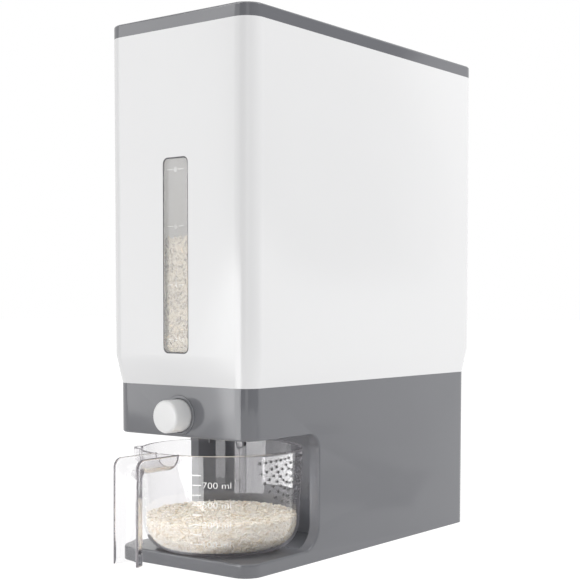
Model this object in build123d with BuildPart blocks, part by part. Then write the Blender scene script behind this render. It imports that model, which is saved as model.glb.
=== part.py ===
from build123d import *
from math import cos, radians, sin, sqrt, tan
import os

os.makedirs("parts", exist_ok=True)

# Rice dispenser: a tall tank with a lift-off lid stands on a base whose front is an open bay.
# A push button draws a gate from under the hopper, and grain drops into a measuring cup.
# +Z is up, the front faces -Y, X is centred on the body and Z = 0 is the floor. Sizes in mm.

# ---- driving dimensions ----
body_height = 450.0
tank_width, tank_depth, tank_corner = 158.0, 352.0, 16.0
tank_draft, base_draft = 0.287, 0.4          # degrees a side, narrower downwards
lid_band = 11.2                              # height of the lid's side band
shoulder_z = 172.5                           # below here the tank steps in
base_top_z = 148.6                           # the tank stands on the base here
base_width, base_depth, base_corner = 146.8, 341.2, 15.0
wall = 2.6                                   # outer shells of tank and base
skin = 2.4                                   # inner walls of the base and its covers

bay_floor_z, bay_roof_z = 11.0, 107.0
bay_side_reach = 93.0                        # depth of the side openings behind the front
bay_half_width, bay_back_y = 62.8, -27.0
bay_top_corner, bay_low_corner, bay_rear_corner = 13.0, 20.0, 12.0

cup_y, cup_rim_z, cup_floor_z = -118.0, 94.5, 11.3
cup_rim_radius, cup_waist_radius, cup_foot_radius = 68.8, 65.8, 47.8
cup_waist_z, cup_wall = 34.0, 2.0
spout_angle, spout_tip_reach, spout_radius = 224.0, 76.5, 13.0
handle_radius, handle_wall = 13.5, 2.6
handle_front_y, handle_top_z, handle_low_z = -232.0, 95.0, 12.8
handle_outer_corner, handle_inner_corner = 7.0, 4.5

window_width, window_height, window_mid_z, window_corner = 27.5, 159.2, 254.4, 5.0

outlet_y, outlet_width, outlet_length = -104.0, 36.0, 13.0
gate_travel, gate_thickness, gate_z = 15.0, 3.0, 118.0
throat_z = 123.8                             # underside of the hopper's outlet flange
button_z, button_radius, button_proud = 124.5, 13.25, 18.0
running_gap = 0.3                            # between parts that slide past each other

screw_radius, screw_hole_radius, screw_head_radius = 1.6, 1.75, 3.3


def half_at(z, half_top, z_top, draft):
    """Half a side at height z: the half size at z_top less the draft below it."""
    return half_top - (z_top - z) * tan(radians(draft))


def tank_plan(z, inset=0.0):
    """Tank outline at height z, moved inwards by inset."""
    half_x = half_at(z, tank_width / 2, body_height, tank_draft) - inset
    half_y = half_at(z, tank_depth / 2, body_height, tank_draft) - inset
    with BuildSketch(Plane.XY.offset(z)) as plan:
        RectangleRounded(2 * half_x, 2 * half_y, tank_corner - inset)
    return plan.sketch


def base_plan(z, inset=0.0):
    """Base outline at height z, moved inwards by inset."""
    half_x = half_at(z, base_width / 2, base_top_z, base_draft) - inset
    half_y = half_at(z, base_depth / 2, base_top_z, base_draft) - inset
    with BuildSketch(Plane.XY.offset(z)) as plan:
        RectangleRounded(2 * half_x, 2 * half_y, base_corner - inset)
    return plan.sketch


lid_seam_z = body_height - lid_band
front_y = -half_at(button_z, base_depth / 2, base_top_z, base_draft)

# ---- tank: white moulded shell, open above, with an inward flange that is screwed down ----
tank_flange = 2.6
mouth_half_x, mouth_half_y, mouth_corner = 60.5, 158.0, 12.0
tank_screw_x, tank_screw_pitch = 65.6, 140.0
tank_boss_radius, tank_boss_height, boss_cap = 3.9, 4.6, 1.0

with BuildPart() as tank_inside:
    loft([tank_plan(lid_seam_z, wall), tank_plan(shoulder_z, wall)], ruled=True)
    loft([tank_plan(shoulder_z, wall), base_plan(base_top_z + tank_flange, wall)], ruled=True)

window_lean = radians(tank_draft)
window_mid_y = -half_at(window_mid_z, tank_depth / 2, body_height, tank_draft)
window_plane = Plane(
    origin=(0, window_mid_y, window_mid_z),
    x_dir=(1, 0, 0),
    z_dir=(0, -cos(window_lean), -sin(window_lean)),
)

with BuildPart() as tank_shell:
    loft([tank_plan(lid_seam_z), tank_plan(shoulder_z)], ruled=True)
    loft([tank_plan(shoulder_z), base_plan(base_top_z)], ruled=True)
    add(tank_inside.part, mode=Mode.SUBTRACT)
    with BuildSketch(Plane.XY.offset(base_top_z)):
        RectangleRounded(2 * mouth_half_x, 2 * mouth_half_y, mouth_corner)
    extrude(amount=tank_flange, mode=Mode.SUBTRACT)
    with BuildSketch(Plane.XY.offset(base_top_z + tank_flange)):
        with GridLocations(2 * tank_screw_x, tank_screw_pitch, 2, 3):
            Circle(tank_boss_radius)
    extrude(amount=tank_boss_height)
    with BuildSketch(Plane.XY.offset(base_top_z)):
        with GridLocations(2 * tank_screw_x, tank_screw_pitch, 2, 3):
            Circle(screw_hole_radius)
    extrude(amount=tank_flange + tank_boss_height - boss_cap, mode=Mode.SUBTRACT)
    with BuildSketch(window_plane):
        RectangleRounded(window_width, window_height, window_corner)
    extrude(amount=2 * wall, both=True, mode=Mode.SUBTRACT)
tank_shell.part.label = "tank_shell"

# ---- sight window: a clear pane fills the slot and laps behind it over a soft seal ----
pane_fit, pane_recess, pane_edge = 0.15, 0.3, 0.4
pane_lap, pane_lap_thickness, window_seal_thickness = 2.0, 1.8, 1.0

with BuildPart() as window_seal:
    with BuildSketch(window_plane.offset(-wall)):
        RectangleRounded(
            window_width + 2 * pane_lap, window_height + 2 * pane_lap, window_corner + pane_lap
        )
        RectangleRounded(window_width, window_height, window_corner, mode=Mode.SUBTRACT)
    extrude(amount=-window_seal_thickness)
window_seal.part.label = "window_seal"

with BuildPart() as window_lens:
    with BuildSketch(window_plane.offset(-pane_recess)):
        RectangleRounded(
            window_width - 2 * pane_fit, window_height - 2 * pane_fit, window_corner - pane_fit
        )
    extrude(amount=pane_recess - wall - window_seal_thickness)
    chamfer(window_lens.faces().sort_by(Axis.Y)[0].edges(), pane_edge)
    with BuildSketch(window_plane.offset(-wall - window_seal_thickness)):
        RectangleRounded(
            window_width + 2 * pane_lap, window_height + 2 * pane_lap, window_corner + pane_lap
        )
    extrude(amount=-pane_lap_thickness)
window_lens.part.label = "window_lens"

# ---- lid: a cover with a flush side band, a plug tray inside it and a soft sealing ring ----
lid_edge, lid_band_wall = 2.0, 3.0
plug_gap, plug_depth, plug_wall = 1.4, 15.0, 1.8
ring_height, ring_drop, ring_groove, ring_reach = 4.0, 10.5, 0.8, 0.9
ring_chamfer = 0.5

plug_half_x = half_at(lid_seam_z, tank_width / 2, body_height, tank_draft) - wall - plug_gap
plug_half_y = half_at(lid_seam_z, tank_depth / 2, body_height, tank_draft) - wall - plug_gap
plug_corner = tank_corner - wall - plug_gap
plug_low_z = lid_seam_z - plug_depth
ring_low_z = lid_seam_z - ring_drop


def plug_outline(grow):
    """Rounded rectangle in the active sketch, the plug's outline grown by grow."""
    return RectangleRounded(
        2 * (plug_half_x + grow), 2 * (plug_half_y + grow), plug_corner + grow, mode=Mode.PRIVATE
    )


with BuildPart() as lid_cover:
    loft([tank_plan(body_height), tank_plan(lid_seam_z)], ruled=True)
    fillet(lid_cover.faces().sort_by(Axis.Z)[-1].edges(), lid_edge)
    with BuildSketch(Plane.XY.offset(lid_seam_z)):
        RectangleRounded(
            tank_width - 2 * lid_band_wall,
            tank_depth - 2 * lid_band_wall,
            tank_corner - lid_band_wall,
        )
    extrude(amount=lid_band - skin, mode=Mode.SUBTRACT)
lid_cover.part.label = "lid_cover"

with BuildPart() as lid_liner:
    with BuildSketch(Plane.XY.offset(plug_low_z)):
        add(plug_outline(0.0))
    extrude(amount=body_height - skin - plug_low_z)
    with BuildSketch(Plane.XY.offset(plug_low_z + plug_wall)):
        add(plug_outline(-plug_wall))
    extrude(amount=body_height, mode=Mode.SUBTRACT)
    with BuildSketch(Plane.XY.offset(ring_low_z)):
        add(plug_outline(1.0))
        add(plug_outline(-ring_groove), mode=Mode.SUBTRACT)
    extrude(amount=ring_height, mode=Mode.SUBTRACT)
lid_liner.part.label = "lid_liner"

with BuildPart() as lid_seal:
    with BuildSketch(Plane.XY.offset(ring_low_z)):
        add(plug_outline(ring_reach))
        add(plug_outline(-ring_groove), mode=Mode.SUBTRACT)
    extrude(amount=ring_height)
    for ring_face in (lid_seal.faces().sort_by(Axis.Z)[-1], lid_seal.faces().sort_by(Axis.Z)[0]):
        chamfer(ring_face.outer_wire().edges(), ring_chamfer)
lid_seal.part.label = "lid_seal"

# ---- hopper: four slopes lead the grain down to a slot over the gate ----
hopper_foot_z = throat_z + 2.2               # the slopes start here, round the slot
front_slope, rear_slope, side_slope = 0.748, 0.319, 0.807   # rise over run
slope_skin = 3.0                             # floor thickness, measured straight down
wing_half_x, wing_front_y, wing_rear_y = 34.0, -115.2, -76.0
gate_screw_x, gate_screw_pitch, gate_screw_y = 30.6, 22.0, -94.0
gate_boss_radius, gate_boss_height, gate_hole_depth = 3.4, 7.5, 6.0
slope_reach, slope_top = 260.0, 360.0        # far enough to pass the tank's walls


def trough(plane, slot_mid, slot_half, low_slope, high_slope, foot_z):
    """Trough section on plane: a slot at slot_mid, then a slope rising away on each side."""
    low, high = slot_mid - slot_half, slot_mid + slot_half
    with BuildSketch(plane) as section:
        with BuildLine():
            Polyline(
                (high, throat_z - 1),
                (high, foot_z),
                (slope_reach, foot_z + (slope_reach - high) * high_slope),
                (slope_reach, slope_top),
                (-slope_reach, slope_top),
                (-slope_reach, foot_z + (slope_reach + low) * low_slope),
                (low, foot_z),
                (low, throat_z - 1),
                close=True,
            )
        make_face()
    return section.sketch


def grain_space(drop):
    """Everything above the slopes and in the slot, with the slopes lowered by drop."""
    foot_z = hopper_foot_z - drop
    lengthways = trough(Plane.YZ, outlet_y, outlet_length / 2, front_slope, rear_slope, foot_z)
    crossways = trough(Plane.XZ, 0, outlet_width / 2, side_slope, side_slope, foot_z)
    with BuildPart() as space:
        extrude(lengthways, amount=slope_reach, both=True)
        extrude(crossways, amount=slope_reach, both=True, mode=Mode.INTERSECT)
    return space.part


with BuildPart() as hopper_floor:
    add(tank_inside.part)
    with BuildSketch(Plane.XY.offset(hopper_foot_z)):
        Rectangle(2 * mouth_half_x, 2 * mouth_half_y)
    extrude(amount=base_top_z + tank_flange - hopper_foot_z)
    add(grain_space(slope_skin), mode=Mode.INTERSECT)
    with BuildSketch(Plane.XY.offset(throat_z)):
        with Locations((0, (wing_front_y + wing_rear_y) / 2)):
            Rectangle(2 * wing_half_x, wing_rear_y - wing_front_y)
    extrude(amount=hopper_foot_z - throat_z)
    with BuildSketch(Plane.XY.offset(throat_z)):
        with Locations((0, gate_screw_y)):
            with GridLocations(2 * gate_screw_x, gate_screw_pitch, 2, 2):
                Circle(gate_boss_radius)
    extrude(amount=gate_boss_height)
    add(grain_space(0.0), mode=Mode.SUBTRACT)
    with BuildSketch(Plane.XY.offset(throat_z)):
        with Locations((0, gate_screw_y)):
            with GridLocations(2 * gate_screw_x, gate_screw_pitch, 2, 2):
                Circle(screw_hole_radius)
    extrude(amount=gate_hole_depth, mode=Mode.SUBTRACT)
hopper_floor.part.label = "hopper_floor"

# ---- throat seal: a soft ring between the hopper and the moving gate ----
throat_land, throat_corner = 4.2, 3.0
seal_low_z = gate_z + gate_thickness + running_gap

with BuildPart() as throat_seal:
    with BuildSketch(Plane.XY.offset(seal_low_z)):
        with Locations((0, outlet_y)):
            RectangleRounded(
                outlet_width + 2 * throat_land, outlet_length + 2 * throat_land, throat_corner
            )
            Rectangle(outlet_width, outlet_length, mode=Mode.SUBTRACT)
    extrude(amount=throat_z - seal_low_z)
throat_seal.part.label = "throat_seal"

# ---- gate: a sliding plate whose slot comes under the hopper's when the button is in ----
gate_half_x, gate_front_y, gate_rear_y = 22.0, -139.3, -93.5
gate_slot_width, gate_slot_length = 34.0, 12.0
tongue_half_x, tongue_length, tongue_y, tongue_fit = 4.0, 3.0, -135.8, 0.05

with BuildPart() as gate_slide:
    with BuildSketch(Plane.XY.offset(gate_z)):
        with Locations((0, (gate_front_y + gate_rear_y) / 2)):
            Rectangle(2 * gate_half_x, gate_rear_y - gate_front_y)
        with Locations((0, outlet_y - gate_travel)):
            RectangleRounded(gate_slot_width, gate_slot_length, 2, mode=Mode.SUBTRACT)
        with Locations((0, tongue_y)):
            Rectangle(
                2 * (tongue_half_x + tongue_fit),
                tongue_length + 2 * tongue_fit,
                mode=Mode.SUBTRACT,
            )
    extrude(amount=gate_thickness)
gate_slide.part.label = "gate_slide"

# ---- gate frame: the channel that the gate runs in, screwed up to the hopper ----
frame_floor, rail_width = 2.3, 4.7
frame_front_y, frame_rear_y = -138.0, -76.0
ear_thickness, ear_length = 2.5, 9.0
rail_inner_x = gate_half_x + running_gap
rail_outer_x = rail_inner_x + rail_width
channel_z = gate_z - running_gap
frame_low_z = channel_z - frame_floor

with BuildPart() as gate_frame:
    with BuildSketch(Plane.XY.offset(frame_low_z)):
        with Locations((0, (frame_front_y + frame_rear_y) / 2)):
            Rectangle(2 * rail_outer_x, frame_rear_y - frame_front_y)
    extrude(amount=throat_z - frame_low_z)
    with BuildSketch(Plane.XY.offset(channel_z)):
        with Locations((0, (frame_front_y + frame_rear_y) / 2)):
            Rectangle(2 * rail_inner_x, frame_rear_y - frame_front_y)
    extrude(amount=throat_z - channel_z, mode=Mode.SUBTRACT)
    with BuildSketch(Plane.XY.offset(throat_z - ear_thickness)):
        with Locations((0, gate_screw_y)):
            with GridLocations(rail_outer_x + wing_half_x, gate_screw_pitch, 2, 2):
                Rectangle(wing_half_x - rail_outer_x, ear_length)
    extrude(amount=ear_thickness)
    with BuildSketch(Plane.XY.offset(frame_low_z)):
        with Locations((0, outlet_y)):
            Rectangle(outlet_width, outlet_length)
        with Locations((0, gate_screw_y)):
            with GridLocations(2 * gate_screw_x, gate_screw_pitch, 2, 2):
                Circle(screw_hole_radius)
    extrude(amount=throat_z - frame_low_z, mode=Mode.SUBTRACT)
gate_frame.part.label = "gate_frame"

# ---- outlet chute: an oblong spout held between the bay's roof and the gate frame ----
chute_half_x, chute_half_y, chute_wall, chute_low_z = 20.0, 9.5, 2.0, 102.0
collar_reach, collar_thickness = 6.0, 2.0
finger_x, finger_y, finger_tip_z = 18.9, -111.0, 95.8
finger_root_size, finger_tip_size = (2.0, 5.0), (1.5, 2.4)
ceiling_top_z = bay_roof_z + skin

with BuildPart() as outlet_chute:
    with BuildSketch(Plane.XY.offset(chute_low_z)):
        with Locations((0, outlet_y)):
            RectangleRounded(2 * chute_half_x, 2 * chute_half_y, 3)
    extrude(amount=frame_low_z - chute_low_z)
    with BuildSketch(Plane.XY.offset(ceiling_top_z)):
        with Locations((0, outlet_y)):
            RectangleRounded(
                2 * (chute_half_x + collar_reach), 2 * (chute_half_y + collar_reach), 5
            )
    extrude(amount=collar_thickness)
    with BuildSketch(Plane.XY.offset(chute_low_z)):
        with Locations((0, outlet_y)):
            RectangleRounded(2 * (chute_half_x - chute_wall), 2 * (chute_half_y - chute_wall), 1)
    extrude(amount=frame_low_z - chute_low_z, mode=Mode.SUBTRACT)
    for side in (-1, 1):
        with BuildSketch(Plane.XY.offset(chute_low_z + 1)):
            with Locations((side * finger_x, finger_y)):
                Rectangle(*finger_root_size)
        with BuildSketch(Plane.XY.offset(finger_tip_z)):
            with Locations((side * finger_x, finger_y)):
                Rectangle(*finger_tip_size)
        loft(ruled=True)
outlet_chute.part.label = "outlet_chute"

# ---- button: a hollow cap in a guide sleeve, its rod hooked into the gate ----
button_length, button_skin, button_edge = 28.6, 2.2, 2.4
stem_radius, stem_length, rod_radius, bearing_gap = 7.6, 10.0, 3.8, 0.08
sleeve_radius, bezel_radius, bezel_proud, bezel_edge = 14.8, 16.5, 0.8, 0.5
sleeve_wall_y, sleeve_wall, sleeve_mouth_chamfer = -142.0, 2.4, 0.6
rod_head_half_x, rod_head_length, rod_head_top_z = 6.0, 6.0, 127.2
button_face_y = front_y - button_proud
bore_radius = button_radius + running_gap


def push_plane(y):
    """Plane across the push axis at y, facing the rear."""
    return Plane(origin=(0, y, button_z), x_dir=(1, 0, 0), z_dir=(0, 1, 0))


with BuildPart() as button_cap:
    with BuildSketch(push_plane(button_face_y)):
        Circle(button_radius)
    extrude(amount=button_length)
    fillet(button_cap.faces().sort_by(Axis.Y)[0].edges(), button_edge)
    with BuildSketch(push_plane(button_face_y + button_skin)):
        Circle(button_radius - button_skin)
        Circle(stem_radius, mode=Mode.SUBTRACT)
    extrude(amount=button_length, mode=Mode.SUBTRACT)
    with BuildSketch(push_plane(button_face_y + button_skin + stem_length)):
        Circle(stem_radius)
    extrude(amount=button_length, mode=Mode.SUBTRACT)
    with BuildSketch(push_plane(button_face_y + button_skin)):
        Circle(rod_radius)
    extrude(amount=stem_length, mode=Mode.SUBTRACT)
button_cap.part.label = "button_cap"

with BuildPart() as push_rod:
    with BuildSketch(push_plane(button_face_y + button_skin)):
        Circle(rod_radius)
    extrude(amount=gate_front_y - button_face_y - button_skin)
    with BuildSketch(Plane.XY.offset(gate_z + gate_thickness)):
        with Locations((0, gate_front_y + rod_head_length / 2)):
            Rectangle(2 * rod_head_half_x, rod_head_length)
    extrude(amount=rod_head_top_z - gate_z - gate_thickness)
    with BuildSketch(Plane.XY.offset(gate_z)):
        with Locations((0, tongue_y)):
            Rectangle(2 * tongue_half_x, tongue_length)
    extrude(amount=gate_thickness)
push_rod.part.label = "push_rod"

with BuildPart() as button_guide:
    with BuildSketch(push_plane(front_y - bezel_proud)):
        Circle(bezel_radius)
    extrude(amount=bezel_proud)
    fillet(button_guide.faces().sort_by(Axis.Y)[0].edges(), bezel_edge)
    with BuildSketch(push_plane(front_y)):
        Circle(sleeve_radius)
    extrude(amount=sleeve_wall_y + sleeve_wall - front_y)
    with BuildSketch(push_plane(front_y - bezel_proud)):
        Circle(bore_radius)
    extrude(amount=sleeve_wall_y - front_y + bezel_proud, mode=Mode.SUBTRACT)
    with BuildSketch(push_plane(sleeve_wall_y)):
        Circle(rod_radius + bearing_gap)
    extrude(amount=sleeve_wall, mode=Mode.SUBTRACT)
    bezel_face = button_guide.faces().sort_by(Axis.Y)[0]
    chamfer(bezel_face.inner_wires()[0].edges(), sleeve_mouth_chamfer)
button_guide.part.label = "button_guide"

# ---- return spring: coils round the rod from the sleeve's end wall to the button's stem ----
spring_radius, spring_wire_radius, spring_wire_sides, spring_turns = 6.6, 0.6, 6, 6
spring_front_y = button_face_y + button_skin + stem_length + 2 * spring_wire_radius
spring_length = sleeve_wall_y - 2 * spring_wire_radius - spring_front_y

with BuildPart() as return_spring:
    with BuildLine() as coil:
        Helix(
            pitch=spring_length / spring_turns,
            height=spring_length,
            radius=spring_radius,
            center=(0, spring_front_y, button_z),
            direction=(0, 1, 0),
        )
    with BuildSketch(Plane(origin=coil.line @ 0, z_dir=coil.line % 0)):
        RegularPolygon(spring_wire_radius, spring_wire_sides)
    sweep(path=coil.line, is_frenet=True)
return_spring.part.label = "return_spring"

# ---- base: housing with the open bay, its hollow closed below by a flush cover ----
ledge = 2.6                                  # thickness of the rim that carries the tank
bay_edge = 1.8                               # rounding of the bay's outer edges
post_x, post_radius, post_pitch = 66.4, 4.2, 145.0
post_top_z, cover_gap = 30.0, 0.3
chute_slot_gap, sleeve_hole_gap = 0.5, 0.1
far_front_y = -200.0                         # ahead of the body, where the bay's cuts start


def bay_block(grow):
    """The bay as a solid: side openings right across and a pocket behind, grown by grow."""
    rear_y = front_y + bay_side_reach + grow
    low_z, high_z = bay_floor_z - grow, bay_roof_z + grow
    pocket_rear_y = bay_back_y + grow
    with BuildPart() as block:
        with BuildSketch(Plane.YZ) as side:
            with Locations(((far_front_y + rear_y) / 2, (low_z + high_z) / 2)):
                Rectangle(rear_y - far_front_y, high_z - low_z)
            fillet(side.vertices().group_by(Axis.X)[-1].sort_by(Axis.Y)[0], bay_low_corner + grow)
            fillet(side.vertices().group_by(Axis.X)[-1].sort_by(Axis.Y)[-1], bay_top_corner + grow)
        extrude(amount=base_width, both=True)
        with BuildSketch(Plane.XY.offset(low_z)) as pocket:
            with Locations((0, (far_front_y + pocket_rear_y) / 2)):
                Rectangle(2 * (bay_half_width + grow), pocket_rear_y - far_front_y)
            fillet(pocket.vertices().group_by(Axis.Y)[-1], bay_rear_corner + grow)
        extrude(amount=high_z - low_z)
    return block.part


with BuildPart() as base_hollow:
    loft([base_plan(base_top_z, wall), base_plan(0, wall)], ruled=True)
    add(bay_block(skin), mode=Mode.SUBTRACT)
    with BuildSketch(Plane.XY.offset(base_top_z - ledge)):
        RectangleRounded(base_width, base_depth, base_corner)
        RectangleRounded(2 * mouth_half_x, 2 * mouth_half_y, mouth_corner, mode=Mode.SUBTRACT)
    extrude(amount=ledge, mode=Mode.SUBTRACT)


def on_base_side(edge):
    """True where an edge's middle lies on the base's outer side between its two ends."""
    mid = edge @ 0.5
    ahead_x = abs(mid.X) - half_at(mid.Z, base_width / 2, base_top_z, base_draft) + base_corner
    ahead_y = abs(mid.Y) - half_at(mid.Z, base_depth / 2, base_top_z, base_draft) + base_corner
    reach = max(ahead_x, ahead_y)
    if min(ahead_x, ahead_y) > 0:
        reach = sqrt(ahead_x ** 2 + ahead_y ** 2)
    return 0 < mid.Z < base_top_z and abs(reach - base_corner) < 0.05


with BuildPart() as base_housing:
    loft([base_plan(base_top_z), base_plan(0)], ruled=True)
    add(base_hollow.part, mode=Mode.SUBTRACT)
    with BuildSketch(Plane.XY.offset(skin)):
        with GridLocations(2 * post_x, post_pitch, 2, 3):
            Circle(post_radius)
    extrude(amount=post_top_z - skin)
    add(bay_block(0.0), mode=Mode.SUBTRACT)
    bay_rim = base_housing.edges(Select.NEW).filter_by(on_base_side)
    fillet(bay_rim, bay_edge)
    with BuildSketch(Plane.XY.offset(skin)):
        with GridLocations(2 * post_x, post_pitch, 2, 3):
            Circle(screw_hole_radius)
    extrude(amount=bay_floor_z - skin - boss_cap, mode=Mode.SUBTRACT)
    with BuildSketch(Plane.XY.offset(base_top_z - ledge)):
        with GridLocations(2 * tank_screw_x, tank_screw_pitch, 2, 3):
            Circle(screw_hole_radius)
    extrude(amount=ledge, mode=Mode.SUBTRACT)
    with BuildSketch(push_plane(front_y - wall)):
        Circle(bezel_radius + sleeve_hole_gap)
    extrude(amount=wall, mode=Mode.SUBTRACT)
    with BuildSketch(push_plane(front_y)):
        Circle(sleeve_radius + sleeve_hole_gap)
    extrude(amount=2 * wall, mode=Mode.SUBTRACT)
    with BuildSketch(Plane.XY.offset(bay_roof_z)):
        with Locations((0, outlet_y)):
            RectangleRounded(
                2 * (chute_half_x + chute_slot_gap), 2 * (chute_half_y + chute_slot_gap), 3.5
            )
    extrude(amount=skin, mode=Mode.SUBTRACT)
base_housing.part.label = "base_housing"

# ---- bottom cover: a flush plate with rubber pads let into it, screwed up to the posts ----
pad_x, pad_pitch, pad_radius, pad_thickness = 52.0, 300.0, 8.0, 1.2
countersink_angle = 90

with BuildPart() as bottom_cover:
    add(base_plan(0, wall + cover_gap))
    extrude(amount=skin)
    with BuildSketch():
        with GridLocations(2 * pad_x, pad_pitch, 2, 2):
            Circle(pad_radius)
    extrude(amount=pad_thickness, mode=Mode.SUBTRACT)
    with Locations(Plane.XY.rotated((180, 0, 0))):
        with GridLocations(2 * post_x, post_pitch, 2, 3):
            CounterSinkHole(screw_hole_radius, screw_head_radius, skin, countersink_angle)
bottom_cover.part.label = "bottom_cover"

with BuildPart() as rubber_feet:
    with BuildSketch():
        with GridLocations(2 * pad_x, pad_pitch, 2, 2):
            Circle(pad_radius)
    extrude(amount=pad_thickness)
rubber_feet.part.label = "rubber_feet"

# ---- screws: bottom cover to posts, base ledge to tank, gate frame to hopper ----
bottom_screw_length, tank_screw_length, gate_screw_length = 9.0, 8.4, 8.0
head_sink, pan_head_height, gate_head_radius = 0.2, 2.2, 2.9

with BuildPart() as bottom_screws:
    with BuildSketch(Plane.XY.offset(head_sink)):
        with GridLocations(2 * post_x, post_pitch, 2, 3):
            Circle(screw_radius)
    extrude(amount=bottom_screw_length)
    with BuildSketch(Plane.XY.offset(head_sink)):
        with GridLocations(2 * post_x, post_pitch, 2, 3):
            Circle(screw_head_radius - 2 * head_sink)
    extrude(amount=screw_head_radius - 2 * head_sink - screw_radius, taper=countersink_angle / 2)
bottom_screws.part.label = "bottom_screws"

with BuildPart() as tank_screws:
    with BuildSketch(Plane.XY.offset(base_top_z - ledge)):
        with GridLocations(2 * tank_screw_x, tank_screw_pitch, 2, 3):
            Circle(screw_radius)
    extrude(amount=tank_screw_length)
    with BuildSketch(Plane.XY.offset(base_top_z - ledge)):
        with GridLocations(2 * tank_screw_x, tank_screw_pitch, 2, 3):
            Circle(screw_head_radius)
    extrude(amount=-pan_head_height)
tank_screws.part.label = "tank_screws"

with BuildPart() as gate_screws:
    with BuildSketch(Plane.XY.offset(throat_z - ear_thickness)):
        with Locations((0, gate_screw_y)):
            with GridLocations(2 * gate_screw_x, gate_screw_pitch, 2, 2):
                Circle(screw_radius)
    extrude(amount=gate_screw_length)
    with BuildSketch(Plane.XY.offset(throat_z - ear_thickness)):
        with Locations((0, gate_screw_y)):
            with GridLocations(2 * gate_screw_x, gate_screw_pitch, 2, 2):
                Circle(gate_head_radius)
    extrude(amount=-pan_head_height)
gate_screws.part.label = "gate_screws"

# ---- measuring cup: a round bowl with a pouring spout and a half-pipe handle ----
spout_top_z, spout_straight_z, spout_root_z = 95.6, 84.5, 73.0
spout_root_reach = 66.0                      # how far out the spout's tapered end reaches
handle_root_y = cup_y - cup_rim_radius + 1.9


def bowl_section(inset):
    """Half section of the bowl on its axis plane: foot, rounded waist, flared side."""
    floor_z, foot = cup_floor_z + inset, cup_foot_radius
    waist, rim = cup_waist_radius - inset, cup_rim_radius - inset
    with BuildSketch(Plane.XZ.offset(-cup_y)) as section:
        with BuildLine():
            Line((0, floor_z), (foot, floor_z))
            EllipticalCenterArc(
                (foot, cup_waist_z), waist - foot, cup_waist_z - floor_z, 270, arc_size=90
            )
            Line((waist, cup_waist_z), (rim, cup_rim_z))
            Polyline((rim, cup_rim_z), (0, cup_rim_z), (0, floor_z))
        make_face()
    return section.sketch


def spout_level(z, tip_reach, radius):
    """Circle at height z whose far side is tip_reach from the bowl's axis along the spout."""
    reach = tip_reach - radius
    direction = radians(spout_angle)
    with BuildSketch(Plane.XY.offset(z)) as level:
        with Locations((reach * cos(direction), cup_y + reach * sin(direction))):
            Circle(radius)
    return level.sketch


def spout_block(inset):
    """The spout as a solid: upright at the lip, tapering back to the bowl's wall below."""
    lip, root = spout_tip_reach - inset, spout_root_reach - inset
    radius = spout_radius - inset
    with BuildPart() as block:
        extrude(spout_level(spout_straight_z, lip, radius),
                amount=spout_top_z - spout_straight_z)
        loft([spout_level(spout_straight_z, lip, radius), spout_level(spout_root_z, root, radius)],
             ruled=True)
    return block.part


with BuildPart() as handle:
    with BuildLine() as handle_run:
        Polyline(
            (0, handle_root_y, handle_top_z),
            (0, handle_front_y, handle_top_z),
            (0, handle_front_y, handle_low_z),
        )
    with BuildSketch(Plane(origin=handle_run.line @ 0, x_dir=(1, 0, 0), z_dir=(0, -1, 0))):
        Circle(handle_radius)
        Circle(handle_radius - handle_wall, mode=Mode.SUBTRACT)
        with Locations((0, handle_radius)):
            Rectangle(2 * handle_radius, 2 * handle_radius, mode=Mode.SUBTRACT)
    sweep(path=handle_run.line, transition=Transition.RIGHT)
    with BuildSketch(Plane.YZ) as handle_side:
        with Locations((handle_front_y, handle_low_z)):
            Rectangle(
                handle_root_y - handle_front_y,
                handle_top_z - handle_low_z,
                align=(Align.MIN, Align.MIN),
            )
        fillet(handle_side.vertices().group_by(Axis.X)[0].sort_by(Axis.Y)[-1], handle_outer_corner)
    extrude(amount=handle_radius, both=True, mode=Mode.INTERSECT)
    mitre = handle.edges().filter_by(GeomType.ELLIPSE).sort_by(SortBy.LENGTH)[-1]
    fillet(mitre, handle_inner_corner)

with BuildPart() as measuring_cup:
    revolve(bowl_section(0.0), Axis((0, cup_y, 0), (0, 0, 1)))
    add(spout_block(0.0))
    add(handle.part)
    revolve(bowl_section(cup_wall), Axis((0, cup_y, 0), (0, 0, 1)), mode=Mode.SUBTRACT)
    add(spout_block(cup_wall), mode=Mode.SUBTRACT)
measuring_cup.part.label = "measuring_cup"

# ---- one file for each piece ----
export_step(tank_shell.part, "parts/tank_shell.step")
export_step(window_seal.part, "parts/window_seal.step")
export_step(window_lens.part, "parts/window_lens.step")
export_step(lid_cover.part, "parts/lid_cover.step")
export_step(lid_liner.part, "parts/lid_liner.step")
export_step(lid_seal.part, "parts/lid_seal.step")
export_step(hopper_floor.part, "parts/hopper_floor.step")
export_step(throat_seal.part, "parts/throat_seal.step")
export_step(gate_slide.part, "parts/gate_slide.step")
export_step(gate_frame.part, "parts/gate_frame.step")
export_step(outlet_chute.part, "parts/outlet_chute.step")
export_step(button_cap.part, "parts/button_cap.step")
export_step(push_rod.part, "parts/push_rod.step")
export_step(button_guide.part, "parts/button_guide.step")
export_step(return_spring.part, "parts/return_spring.step")
export_step(base_housing.part, "parts/base_housing.step")
export_step(bottom_cover.part, "parts/bottom_cover.step")
export_step(rubber_feet.part, "parts/rubber_feet.step")
export_step(bottom_screws.part, "parts/bottom_screws.step")
export_step(tank_screws.part, "parts/tank_screws.step")
export_step(gate_screws.part, "parts/gate_screws.step")
export_step(measuring_cup.part, "parts/measuring_cup.step")
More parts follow.
